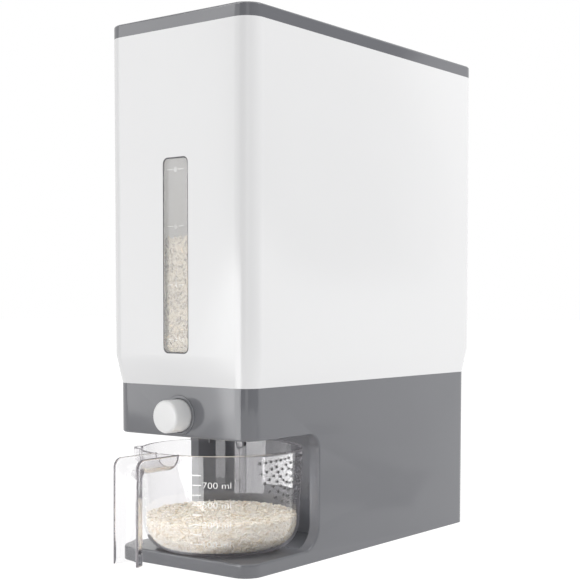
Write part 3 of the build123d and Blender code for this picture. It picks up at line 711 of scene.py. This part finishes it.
def grain_shape(sides=6, rings=3):
    """One grain as arrays: an ellipsoid of rings round its long axis, with a point at each end."""
    along = np.cos(np.pi * np.arange(1, rings + 1) / (rings + 1))
    girth = np.sqrt(1 - along ** 2)
    around = 2 * np.pi * np.arange(sides) / sides
    ring_points = np.stack([
        np.repeat(along, sides) * grain_length / 2,
        (girth[:, None] * np.cos(around)).ravel() * grain_width / 2,
        (girth[:, None] * np.sin(around)).ravel() * grain_width / 2,
    ], axis=1).reshape(rings, sides, 3)
    points, faces = close_grid(ring_points, (grain_length / 2, 0, 0), (-grain_length / 2, 0, 0))
    quads = [face for face in faces if len(face) == 4]
    fans = [face for face in faces if len(face) == 3]
    return points, np.array(quads), np.array(fans)


def scatter_grains(name, places, along, material):
    """One mesh of grains at places, each with its long axis along a unit vector, sizes varied."""
    points, quads, fans = grain_shape()
    helper = np.where(np.abs(along[:, 2:3]) < 0.8, [[0.0, 0.0, 1.0]], [[1.0, 0.0, 0.0]])
    side = np.cross(helper, along)
    side /= np.linalg.norm(side, axis=1, keepdims=True)
    frames = np.stack([along, side, np.cross(along, side)], axis=1)
    sizes = random.uniform(0.85, 1.12, (len(places), 1, 1))
    spread = (points[None] @ frames) * sizes + places[:, None, :]
    start = len(points) * np.arange(len(places))[:, None, None]
    faces = (quads[None] + start).reshape(-1, 4).tolist() + (fans[None] + start).reshape(-1, 3).tolist()
    piece = new_piece(name, spread.reshape(-1, 3), faces)
    tone = piece.data.attributes.new("tone", "FLOAT", "POINT")
    tones = np.repeat(random.uniform(0.0, 1.0, len(places)), len(points))
    tone.data.foreach_set("value", tones.astype(np.float32))
    piece.data.polygons.foreach_set("use_smooth", np.ones(len(piece.data.polygons), bool))
    piece.data.materials.append(material)
    return piece


def rice_material(name, by_grain, dark, pale):
    """Polished rice: creamy, a little translucent, dark to pale by grain or by cells of its size."""
    material = bpy.data.materials.new(name)
    material.use_nodes = True
    tree = material.node_tree
    shader = tree.nodes["Principled BSDF"]
    place = tree.nodes.new("ShaderNodeTexCoord").outputs["Object"]
    ramp = tree.nodes.new("ShaderNodeValToRGB")
    ramp.color_ramp.elements[0].color = (*dark, 1.0)
    ramp.color_ramp.elements[1].color = (*pale, 1.0)
    ramp.color_ramp.elements[1].position = 0.55
    if by_grain:
        tone = tree.nodes.new("ShaderNodeAttribute")
        tone.attribute_name = "tone"
        tree.links.new(tone.outputs["Fac"], ramp.inputs["Fac"])
    else:
        cells = tree.nodes.new("ShaderNodeTexVoronoi")
        cells.inputs["Scale"].default_value = 330.0
        tree.links.new(place, cells.inputs["Vector"])
        tree.links.new(cells.outputs["Distance"], ramp.inputs["Fac"])
        bump = tree.nodes.new("ShaderNodeBump")
        bump.inputs["Distance"].default_value = 0.0012
        bump.inputs["Strength"].default_value = 0.7
        bump.invert = True
        tree.links.new(cells.outputs["Distance"], bump.inputs["Height"])
        tree.links.new(bump.outputs["Normal"], shader.inputs["Normal"])
    tree.links.new(ramp.outputs["Color"], shader.inputs["Base Color"])
    chalk = noise_field(tree, place, 900.0, 2.0)
    tree.links.new(remap(tree, chalk, 0.3, 0.7, 0.38, 0.6), shader.inputs["Roughness"])
    shader.inputs["Subsurface Weight"].default_value = 0.25
    shader.inputs["Subsurface Radius"].default_value = (0.0016, 0.0012, 0.0008)
    shader.inputs["Subsurface Scale"].default_value = 1.0
    return material


rice_dark, rice_pale = (0.72, 0.61, 0.46), (0.88, 0.82, 0.72)
rice_grain = rice_material("rice_grain", True, rice_dark, rice_pale)
rice_bulk = rice_material("rice_bulk", False, rice_dark, rice_pale)

rice_level, core_level, core_gap = 0.0390, 0.0376, 0.0009
core_radius, core_height = bowl_side(cup_wall + core_gap, steps=14, wall_rows=12)
core_keep = core_height < core_level - 0.0002
core_turn = np.radians(np.arange(0.0, 360.0, 3.0))[None, :]
core_top = np.linspace(1.0, 0.0, 9)[:-1]
core_edge = np.interp(core_level, core_height, core_radius)
core_radii = np.r_[core_radius[core_keep], core_edge * core_top]
core_heights = np.r_[core_height[core_keep], np.full(len(core_top), core_level)]
core_rows = np.stack([core_radii[:, None] * np.cos(core_turn),
                      cup_y + core_radii[:, None] * np.sin(core_turn),
                      core_heights[:, None] + 0 * core_turn], axis=-1)
rice_core = new_piece("cup_rice_core", *close_grid(
    core_rows, (0.0, cup_y, core_heights[0]), (0.0, cup_y, core_level)))
rice_core.data.materials.append(rice_bulk)
shade_smooth(rice_core)
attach(rice_core, "cup")

top_count, wall_count = 2700, 2700
grain_scatter, grain_wall_gap, wall_top_margin = 0.0004, 0.00095, 0.0008
top_mid_level = (rice_level + core_level) / 2
top_reach = np.sqrt(random.uniform(0.0, 1.0, top_count)) * (core_edge - grain_scatter)
top_turn = random.uniform(0.0, 2 * np.pi, top_count)
top_places = np.stack([top_reach * np.cos(top_turn), cup_y + top_reach * np.sin(top_turn),
                       top_mid_level + random.normal(0.0, grain_scatter, top_count)], axis=1)
top_heading = random.uniform(0.0, 2 * np.pi, top_count)
top_pitch = random.normal(0.0, 0.22, top_count)
top_along = np.stack([np.cos(top_pitch) * np.cos(top_heading),
                      np.cos(top_pitch) * np.sin(top_heading), np.sin(top_pitch)], axis=1)

wall_radii, wall_heights = bowl_side(cup_wall + grain_wall_gap, steps=24, wall_rows=24)
wall_run = np.r_[0.0, np.cumsum(np.hypot(np.diff(wall_radii), np.diff(wall_heights)))]
run_low = np.interp(foot_radius * 0.98, wall_radii, wall_run)
run_high = np.interp(rice_level - wall_top_margin, wall_heights, wall_run)
wall_at = random.uniform(run_low, run_high, wall_count)
wall_reach = np.interp(wall_at, wall_run, wall_radii)
wall_z = np.interp(wall_at, wall_run, wall_heights)
wall_turn = random.uniform(0.0, 2 * np.pi, wall_count)
step_run = 0.0004
rise = (np.interp(wall_at + step_run, wall_run, wall_heights)
        - np.interp(wall_at - step_run, wall_run, wall_heights)) / (2 * step_run)
run_out = (np.interp(wall_at + step_run, wall_run, wall_radii)
           - np.interp(wall_at - step_run, wall_run, wall_radii)) / (2 * step_run)
up_wall = np.stack([run_out * np.cos(wall_turn), run_out * np.sin(wall_turn), rise], axis=1)
round_wall = np.stack([-np.sin(wall_turn), np.cos(wall_turn), 0 * wall_turn], axis=1)
wall_heading = random.normal(0.0, 0.9, wall_count)[:, None]
wall_along = np.cos(wall_heading) * round_wall + np.sin(wall_heading) * up_wall
wall_along /= np.linalg.norm(wall_along, axis=1, keepdims=True)
wall_places = np.stack([wall_reach * np.cos(wall_turn), cup_y + wall_reach * np.sin(wall_turn),
                        wall_z], axis=1)
cup_rice = scatter_grains("cup_rice", np.concatenate([top_places, wall_places]),
                          np.concatenate([top_along, wall_along]), rice_grain)
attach(cup_rice, "cup")


# ---- Rice in the tank ----
# The stored rice lies on the hopper's slopes up to a level just above the window's middle.
# Grains show behind the pane and on top, over a core that fills the tank.

stock_level, stock_core_level = 0.2690, 0.2678
tank_half_x, front_clear_y, tank_rear_y, stock_corner = 0.0752, -0.1686, 0.1722, 0.0110
slot_half_x, slot_front_y, slot_rear_y, slot_z = 0.0178, -0.1103, -0.0977, 0.1265
stock_mid_y = (front_clear_y + tank_rear_y) / 2
stock_half_y = (tank_rear_y - front_clear_y) / 2


def slopes(x, y, side_fall=0.807, front_fall=0.748, rear_fall=0.319):
    """Height of the hopper's floor: the highest of four planes that fall to the slot."""
    sideways = (np.abs(x) - slot_half_x) * side_fall
    ahead = (slot_front_y - y) * front_fall
    behind = (y - slot_rear_y) * rear_fall
    return slot_z + np.maximum.reduce([sideways, ahead, behind, 0 * x])


def swell(x, y):
    """Height of the low waves on top of the stored rice: a sine across times a cosine along."""
    return 0.0015 * np.sin(41 * x + 1.0) * np.cos(23 * y)


stock_turn = np.radians(np.arange(0.0, 360.0, 2.0))
stock_edge = rounded_outline(stock_turn, tank_half_x - 0.0006, stock_half_y, stock_corner)
spread = np.linspace(0.03, 1.0, 24)[:, None, None] * stock_edge[None]
spread_x, spread_y = spread[..., 0], stock_mid_y + spread[..., 1]
stock_top = np.stack([spread_x, spread_y, stock_core_level + swell(spread_x, spread_y)], axis=-1)
stock_low = np.stack([spread_x, spread_y, slopes(spread_x, spread_y)], axis=-1)
tank_rice_core = new_piece("tank_rice_core", *close_grid(
    np.concatenate([stock_top, stock_low[::-1]]),
    (0.0, stock_mid_y, stock_level), (0.0, stock_mid_y, slopes(0.0, stock_mid_y))))
# Painted shade: the stored rice is coloured darker than the cup's rice, for the dim tank and gaps
# between grains.
shaded_stored_bulk = rice_material("shaded_stored_bulk", False, (0.36, 0.27, 0.17), (0.72, 0.62, 0.46))
shaded_stored_grain = rice_material("shaded_stored_grain", True, (0.15, 0.105, 0.06), (0.72, 0.60, 0.43))
tank_rice_core.data.materials.append(shaded_stored_bulk)
shade_smooth(tank_rice_core)
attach(tank_rice_core, "root")

pane_count, stock_count = 1100, 2600
pane_half_x, pane_gap, pane_foot, pane_scatter = 0.0150, 0.0011, 0.001, 0.0003
pane_places = np.stack([
    random.uniform(-pane_half_x, pane_half_x, pane_count),
    pane_high[1] + pane_gap + random.normal(0.0, pane_scatter, pane_count),
    random.uniform(pane_low[2] + pane_foot, stock_level, pane_count)], axis=1)
pane_heading = random.uniform(0.0, np.pi, pane_count)
pane_along = np.stack([np.cos(pane_heading), random.normal(0.0, 0.06, pane_count),
                       np.sin(pane_heading)], axis=1)
strewn_half_x, strewn_half_y, strewn_corner, strewn_mid_y = 0.073, 0.166, 0.010, 0.002
stock_share = np.sqrt(random.uniform(0.0, 1.0, stock_count))[:, None]
stock_at = rounded_outline(random.uniform(0.0, 2 * np.pi, stock_count),
                           strewn_half_x, strewn_half_y, strewn_corner)
stock_x, stock_y = (stock_at * stock_share + (0.0, strewn_mid_y)).T
stock_z = ((stock_level + stock_core_level) / 2 + random.normal(0.0, grain_scatter, stock_count)
           + swell(stock_x, stock_y))
stock_places = np.stack([stock_x, stock_y, stock_z], axis=1)
stock_heading = random.uniform(0.0, 2 * np.pi, stock_count)
stock_along = np.stack([np.cos(stock_heading), np.sin(stock_heading),
                        random.normal(0.0, 0.2, stock_count)], axis=1)
tank_along = np.concatenate([pane_along, stock_along])
tank_along /= np.linalg.norm(tank_along, axis=1, keepdims=True)
tank_rice = scatter_grains("tank_rice", np.concatenate([pane_places, stock_places]), tank_along,
                           shaded_stored_grain)
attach(tank_rice, "root")


# ---- Return spring ----
# A plated steel coil of six turns round the rod, held between the button's stem and the end wall
# of the sleeve.

spring_front_y, spring_rear_y, spring_z = -0.17503, -0.14320, 0.1245
coil_radius, wire_radius, coil_turns, press_travel = 0.0066, 0.0006, 6, 0.015


def coil_wire(steps_per_turn=20, sides=8):
    """A ring of the wire's radius carried along a helix about the rod's axis, from front to rear."""
    turn = 2 * np.pi * coil_turns * np.linspace(0.0, 1.0, steps_per_turn * coil_turns + 1)[:, None]
    outward = np.stack([np.cos(turn), 0 * turn, np.sin(turn)], axis=-1)
    along = spring_front_y + (spring_rear_y - spring_front_y) * turn / turn[-1]
    middle = coil_radius * outward + np.stack([0 * along, along, spring_z + 0 * along], axis=-1)
    around = (2 * np.pi * np.arange(sides) / sides)[None, :, None]
    rings = middle + wire_radius * (np.cos(around) * outward + np.sin(around) * [0.0, 1.0, 0.0])
    return close_grid(rings, middle[0, 0], middle[-1, 0])


spring_coil = new_piece("spring_coil", *coil_wire())
spring_coil.data.materials.append(steel)
shade_smooth(spring_coil)
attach(spring_coil, "root")
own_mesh(spring_coil)
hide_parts("return_spring")


# ---- Studio ----
# A plain pale floor that glows a little, a white surround and soft lights. Cards and a tray of
# light are there to be mirrored in the plastic, dark flags are mirrored in the cup's walls, and
# small lamps lift the shade in the bay and on the rice.

floor_half = 15.0
floor = new_piece(
    "floor",
    [(-floor_half, -floor_half, 0), (floor_half, -floor_half, 0),
     (floor_half, floor_half, 0), (-floor_half, floor_half, 0)],
    [(0, 1, 2, 3)],
)
floor_white = plastic("floor_white", (0.15, 0.15, 0.15), 0.7, 0.0, drift=0.004)
floor_white.node_tree.nodes["Principled BSDF"].inputs["IOR"].default_value = 1.1
add_glow(floor_white, 0.95)
floor.data.materials.append(floor_white)


def softbox(name, place, aim, width, height, radiance):
    """A rectangular area light at place, facing aim, of that brightness per square metre."""
    light = bpy.data.lights.new(name, "AREA")
    light.shape = "RECTANGLE"
    light.size, light.size_y = width, height
    light.energy = radiance * np.pi * width * height
    lamp = bpy.data.objects.new(name, light)
    bpy.context.scene.collection.objects.link(lamp)
    lamp.location = place
    lamp.rotation_euler = (Vector(aim) - Vector(place)).to_track_quat("-Z", "Y").to_euler()
    lamp.visible_camera = False
    return lamp


softbox("front_left", (-0.44, -1.75, 0.53), (0.0, -0.1, 0.25), 1.5, 1.0, 0.42)
softbox("high_right", (1.3, 0.6, 1.5), (0.0, 0.0, 0.2), 1.0, 1.0, 4.4)
softbox("overhead", (0.0, 0.0, 1.9), (0.0, 0.0, 0.2), 1.6, 1.6, 1.2)


def lit_only(lamp, pieces):
    """Keeps the lamp's light to those pieces."""
    receivers = bpy.data.collections.new(lamp.name + "_receivers")
    for piece in pieces:
        receivers.objects.link(piece)
    lamp.light_linking.receiver_collection = receivers
    return receivers


def arc_sheet(name, first_edge, second_edge, start, end, steps, material):
    """A studio sheet between two arcs about the cup's axis, each at its (radius, height).

    Both arcs turn from start to end degrees, and the camera doesn't see the sheet itself.
    """
    turn = np.radians(np.linspace(start, end, steps + 1))
    edges = [np.stack([radius * np.cos(turn), cup_y + radius * np.sin(turn),
                       np.full(steps + 1, height)], axis=1)
             for radius, height in (first_edge, second_edge)]
    step = np.arange(steps)
    sheet = new_piece(name, np.concatenate(edges), np.stack(
        [step, step + steps + 1, step + steps + 2, step + 1], axis=1).tolist())
    sheet.data.materials.append(material)
    sheet.visible_camera = sheet.visible_shadow = False
    return sheet


front_card = softbox("front_card", (-0.1425, -0.5255, 0.11), (-0.7485, 0.2695, 0.11),
                     0.559, 0.22, 4.4)
front_card.visible_diffuse = False

back_card = softbox("back_card", (1.013, -1.224, 0.25), (0.0, -0.118, 0.25), 0.395, 0.50, 2.4)
tray_glow = plastic("tray_glow", (0.8, 0.8, 0.8), 0.6, 0.0)
add_glow(tray_glow, 4.0)
light_tray = arc_sheet("light_tray", (0.348, 0.003), (0.620, 0.003), 5.5, 64.5, 30, tray_glow)
for lamp in (back_card, light_tray):
    lamp.visible_diffuse = False
    lit_only(lamp, [measuring_cup])

side_card = softbox("side_card", (-0.682, -0.849, 0.5), (0.0, -0.118, 0.5), 0.42, 1.0, 2.1)
top_card = softbox("top_card", (-0.3, -0.9, 1.15), (0.0, -0.15, 0.1), 0.9, 0.6, 4.0)
for lamp in (side_card, top_card):
    lamp.visible_diffuse = False
    lit_only(lamp, [measuring_cup]).collection_objects[0].light_linking.link_state = "EXCLUDE"


def fill_lamp(name, place, aim, width, height, radiance, pieces):
    """A softbox that only those pieces get and shade, and that nothing mirrors."""
    lamp = softbox(name, place, aim, width, height, radiance)
    lamp.visible_glossy = lamp.visible_transmission = False
    lamp.light_linking.blocker_collection = lit_only(lamp, pieces)


softbox("tank_glow", (0.0, 0.0, 0.415), (0.0, 0.0, 0.0), 0.12, 0.28, 1.0)
rice_aim = (0.0, -0.1179, 0.03)
for side, place, size, radiance in (("far", (-0.20, -0.55, 0.90), 0.6, 2.6),
                                    ("above", (0.0, -0.110, 0.152), 0.08, 2.8),
                                    ("front", (0.075, -0.235, 0.12), 0.06, 3.2)):
    fill_lamp("rice_fill_" + side, place, rice_aim, size, size, radiance,
              [cup_rice, rice_core, cup_scale])
for side, place, aim, radiance in (
        ("right", (0.040, -0.095, 0.055), (0.062, -0.02, 0.04), 3.4),
        ("middle", (-0.012, -0.100, 0.105), (-0.012, -0.02, 0.10), 4.0)):
    fill_lamp("bay_fill_" + side, place, aim, 0.03, 0.06, radiance, [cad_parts["base_housing"]])

flag_cloth = plastic("flag_cloth", (0.05, 0.05, 0.05), 0.9, 0.5, drift=0.1)
flag_height = 1.6
for side, start, end, away, foot in (("near", -90.0, -55.0, 0.8, 0.005),
                                     ("right", -40.0, 22.0, 0.8, 0.005),
                                     ("high", 22.0, 60.0, 1.5, 0.25)):
    flag = arc_sheet("flag_" + side, (away, foot), (away, foot + flag_height), start, end, 24,
                     flag_cloth)
    flag.visible_diffuse = False

world = bpy.data.worlds.new("studio")
bpy.context.scene.world = world
world.use_nodes = True
sky = world.node_tree.nodes["Background"]
sky.inputs["Color"].default_value = (1.0, 1.0, 1.0, 1.0)
seen = world.node_tree.nodes.new("ShaderNodeLightPath")
mirrored_strength, diffuse_strength = 1.0, 0.60
world.node_tree.links.new(
    remap(world.node_tree, seen.outputs["Is Diffuse Ray"], 0.0, 1.0,
          mirrored_strength, diffuse_strength),
    sky.inputs["Strength"])

picture_width, focal_length, camera_turn = 580.0, 1231.255, 37.579
camera_data = bpy.data.cameras.new("camera")
camera_data.sensor_width = 36.0
camera_data.lens = camera_data.sensor_width * focal_length / picture_width
camera_data.shift_x = -0.0009
camera_data.shift_y = 0.0275
camera_data.clip_end = 100.0
camera = bpy.data.objects.new("camera", camera_data)
camera.location = (0.681416, -0.907901, 0.213414)
camera.rotation_euler = (np.radians(90.0), 0.0, np.radians(camera_turn))
bpy.context.scene.collection.objects.link(camera)
bpy.context.scene.camera = camera
bpy.context.scene.view_settings.view_transform = "Standard"
